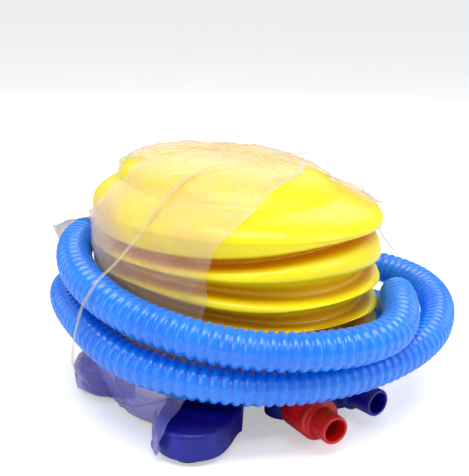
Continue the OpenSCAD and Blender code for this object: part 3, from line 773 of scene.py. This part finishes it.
def sheet(u0, u1, nu, nv, left, right, seed, lift_right=0.0, lift_left=0.0, amp=1.0, tuck=None):
    P = np.zeros((nu, nv, 3))
    for i in range(nu):
        u = u0 + (u1 - u0) * i / (nu - 1)
        a = math.radians(np.interp(u, left[:, 0], left[:, 1]))
        b = math.radians(np.interp(u, right[:, 0], right[:, 1]))
        # ragged free edges
        b += math.radians(1.2 * noise.noise(Vector((u * 1.3, seed, 0.2)))) if u > 1.8 else 0
        a += math.radians(1.5 * noise.noise(Vector((u * 1.1, seed, 4.2)))) if u > 2.3 else 0
        for j in range(nv):
            t = j / (nv - 1)
            phi = a + (b - a) * t
            p = env_point(u, phi)
            nn = normal_at(u, phi)
            lift = 0.35 + amp * 0.75 * crease(u, phi, seed)
            if 7.6 < u < 14.6:
                # held in by the hose below the upper coil
                k = min(1, max(0, (u - 8.4) / 2.0)) if u < 13 else 1
                lift = lift * (1 - 0.85 * k) + 0.15 * k
            if t > 0.9:
                lift += lift_right * ((t - 0.9) / 0.1) ** 2 * (1 if u > 2 else 0)
            if t < 0.1:
                lift += lift_left * ((0.1 - t) / 0.1) ** 2 * (1 if u > 2.4 else 0)
            if u < 0.6:
                lift = 0.6 + (lift - 0.6) * (u / 0.6)
            P[i, j] = p + nn * lift
    return P


def bag():
    A = sheet(0.02, len(ENV) - 1 + len(LOW), 150, 120, EDGE_L, EDGE_R, 1.0, lift_right=1.4, lift_left=0.8)
    Bk = sheet(0.02, 8.4, 64, 110, BACK_A, BACK_B, 1.0, lift_right=1.5, lift_left=1.6, amp=1.2)
    # loose corner that stands out behind the hose on the left
    W = np.zeros((18, 14, 3))
    for i in range(18):
        for j in range(14):
            s_, t_ = i / 17, j / 13
            root = np.array([-76.5 - 2 * t_, 12 + 26 * t_, 92 - 12 * t_])
            tip_ = np.array([-102 + 4 * t_ * t_, 20 + 22 * t_, 85 - 26 * t_ - 6 * (t_ - 0.5) ** 2])
            q = root * (1 - s_) + tip_ * s_
            q[2] += 2.0 * math.sin(s_ * math.pi * 0.8) + 1.6 * noise.noise(Vector((s_ * 3, t_ * 3, 2.0)))
            q[1] += 2.4 * noise.noise(Vector((s_ * 4, t_ * 2, 8.0)))
            W[i, j] = q
    verts, faces = [], []
    off = 0
    for G in (A, Bk, W):
        nu, nv = G.shape[:2]
        verts.append(G.reshape(-1, 3))
        faces += grid_faces(nu, nv, off=off)
        off += nu * nv
    V_ = np.concatenate(verts) * MM
    o = mesh_obj("film_bag", V_, faces, M_film)
    # join the sheets where they meet
    import bmesh
    bm = bmesh.new()
    bm.from_mesh(o.data)
    bmesh.ops.remove_doubles(bm, verts=bm.verts, dist=0.00012)
    bmesh.ops.recalc_face_normals(bm, faces=bm.faces)
    bm.to_mesh(o.data)
    bm.free()
    o.data.polygons.foreach_set("use_smooth", [True] * len(o.data.polygons))
    md = o.modifiers.new("thickness", "SOLIDIFY")
    md.thickness = 0.06 * MM
    md.offset = 0
    bpy.context.view_layer.objects.active = o
    bpy.context.view_layer.update()
    dg = bpy.context.evaluated_depsgraph_get()
    me = bpy.data.meshes.new_from_object(o.evaluated_get(dg))
    o.modifiers.clear()
    o.data = me
    return o


bag_o = bag()
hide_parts("clear_bag")
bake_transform(bag_o)

# ------------------------------------------------------------------ film strap
STRAP = np.array([
    (36, 10, 128.0), (15.5, -14.5, 131.4), (-2.5, -33, 131.0), (-19.8, -43.5, 128.0), (-30, -53, 121.5), (-38.9, -62.5, 111.6), (-47.5, -67.5, 100.5),
    (-55.5, -70.5, 91.5), (-63, -71, 84), (-70.5, -70, 72), (-74.5, -69, 60), (-76.5, -69.5, 50), (-77, -69, 40), (-73, -63, 30), (-62, -50, 14), (-52, -38, 4.0),
    (-36, -24, 1.0), (0, 0, 0.9), (40, 26, 1.0), (62, 44, 5), (86, 60, 20), (101, 70, 36), (104, 71, 47), (97, 67, 57), (86, 58, 72), (76, 48, 92), (68, 38, 106.5), (58, 30, 115.5), (49, 22, 123)], float)


def strap():
    n_ = len(STRAP)
    P = np.concatenate([STRAP, STRAP, STRAP])
    t = np.linspace(n_, 2 * n_, 420, endpoint=False)
    c = catmull(P, t)
    d = np.roll(c, -1, 0) - np.roll(c, 1, 0)
    d /= np.linalg.norm(d, axis=1)[:, None]
    centre = np.array([0, 0, 55.0])
    out = c - centre
    out -= (out * d).sum(1)[:, None] * d
    out /= np.linalg.norm(out, axis=1)[:, None]
    side = np.cross(d, out)
    V_, F_ = [], []
    w, h = 0.8, 0.12
    for i in range(len(c)):
        tw = 0.25 * noise.noise(Vector((i * 0.05, 1.0, 2.0)))
        s_ = side[i] * math.cos(tw) + out[i] * math.sin(tw)
        o_ = np.cross(s_, d[i]) * -1
        if np.dot(o_, out[i]) < 0:
            o_ = -o_
        for a, b in ((-w, -h), (-w * 0.35, -h * 0.4), (w * 0.35, -h * 1.2), (w, -h), (w, h), (w * 0.35, h * 0.8), (-w * 0.35, h * 1.6), (-w, h)):
            V_.append((c[i] + s_ * a + o_ * b) * MM)
    F_ = grid_faces(len(c), 8, wrap_m=True, wrap_n=True)
    return mesh_obj("film_strap", V_, F_, M_strap)


strap_o = strap()
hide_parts("clear_strap")
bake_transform(strap_o)

# ------------------------------------------------------------------ stage
bpy.ops.mesh.primitive_plane_add(size=80, location=(0, 0, -0.0002))
floor = bpy.context.object
floor.name = "floor"
# white backdrop: lifts the paper only where the camera sees it directly
fm = material("floor_paper", srgb(246, 247, 249), srgb(243, 244, 247), rough=(0.6, 0.8), scale=8, bump=0.02, fine=300, spec=0.2)
floor.data.materials.append(fm)
fp = [x for x in fm.node_tree.nodes if x.type == "BSDF_PRINCIPLED"][0]
lp = fm.node_tree.nodes.new("ShaderNodeLightPath")
lm = fm.node_tree.nodes.new("ShaderNodeMath")
lm.operation = "MULTIPLY"
lm.inputs[1].default_value = 0.42
fm.node_tree.links.new(lp.outputs["Is Camera Ray"], lm.inputs[0])
fm.node_tree.links.new(lm.outputs[0], fp.inputs["Emission Strength"])
fp.inputs["Emission Color"].default_value = (1, 1, 1, 1)


def area(name, loc, target, size, power, col=(1, 1, 1)):
    ld = bpy.data.lights.new(name, "AREA")
    ld.shape = "RECTANGLE"
    ld.size, ld.size_y = size
    ld.energy = power
    ld.color = col
    o = bpy.data.objects.new(name, ld)
    o.location = loc
    o.rotation_euler = (Vector(target) - Vector(loc)).to_track_quat("-Z", "Y").to_euler()
    bpy.context.scene.collection.objects.link(o)
    return o


area("key", (0.1, -0.35, 1.1), (0, 0, 0.06), (0.9, 0.6), 9.4)
area("left", (-1.0, -0.4, 0.55), (0, 0, 0.06), (0.5, 0.8), 3.0, (0.97, 0.98, 1))
area("right", (1.0, -0.2, 0.6), (0, 0, 0.06), (0.5, 0.8), 3.2)
area("back", (0.0, 0.9, 0.7), (0, 0, 0.08), (1.2, 0.5), 2.5)
w = bpy.data.worlds.new("studio")
bpy.context.scene.world = w
w.use_nodes = True
bg = w.node_tree.nodes["Background"]
bg.inputs[0].default_value = (0.97, 0.98, 1.0, 1)
bg.inputs[1].default_value = 0.48

cam = bpy.data.cameras.new("camera")
cam.sensor_width = 36
cam.lens = 65.83
cam.shift_x = -0.0037
cam.shift_y = 0.194
cam.clip_start = 0.01
co = bpy.data.objects.new("camera", cam)
el = math.radians(22)
D = 0.480
look = Vector((0, 0, 0.032))
co.location = look + Vector((0, -D * math.cos(el), D * math.sin(el)))
q = (look - co.location).to_track_quat("-Z", "Y")
roll = Matrix.Rotation(math.radians(0.85), 4, "Z")
co.matrix_world = Matrix.Translation(co.location) @ q.to_matrix().to_4x4() @ roll
bpy.context.scene.collection.objects.link(co)
bpy.context.scene.camera = co
vs = bpy.context.scene.view_settings
vs.view_transform = "Standard"
vs.look = "None"
vs.exposure = 0.0
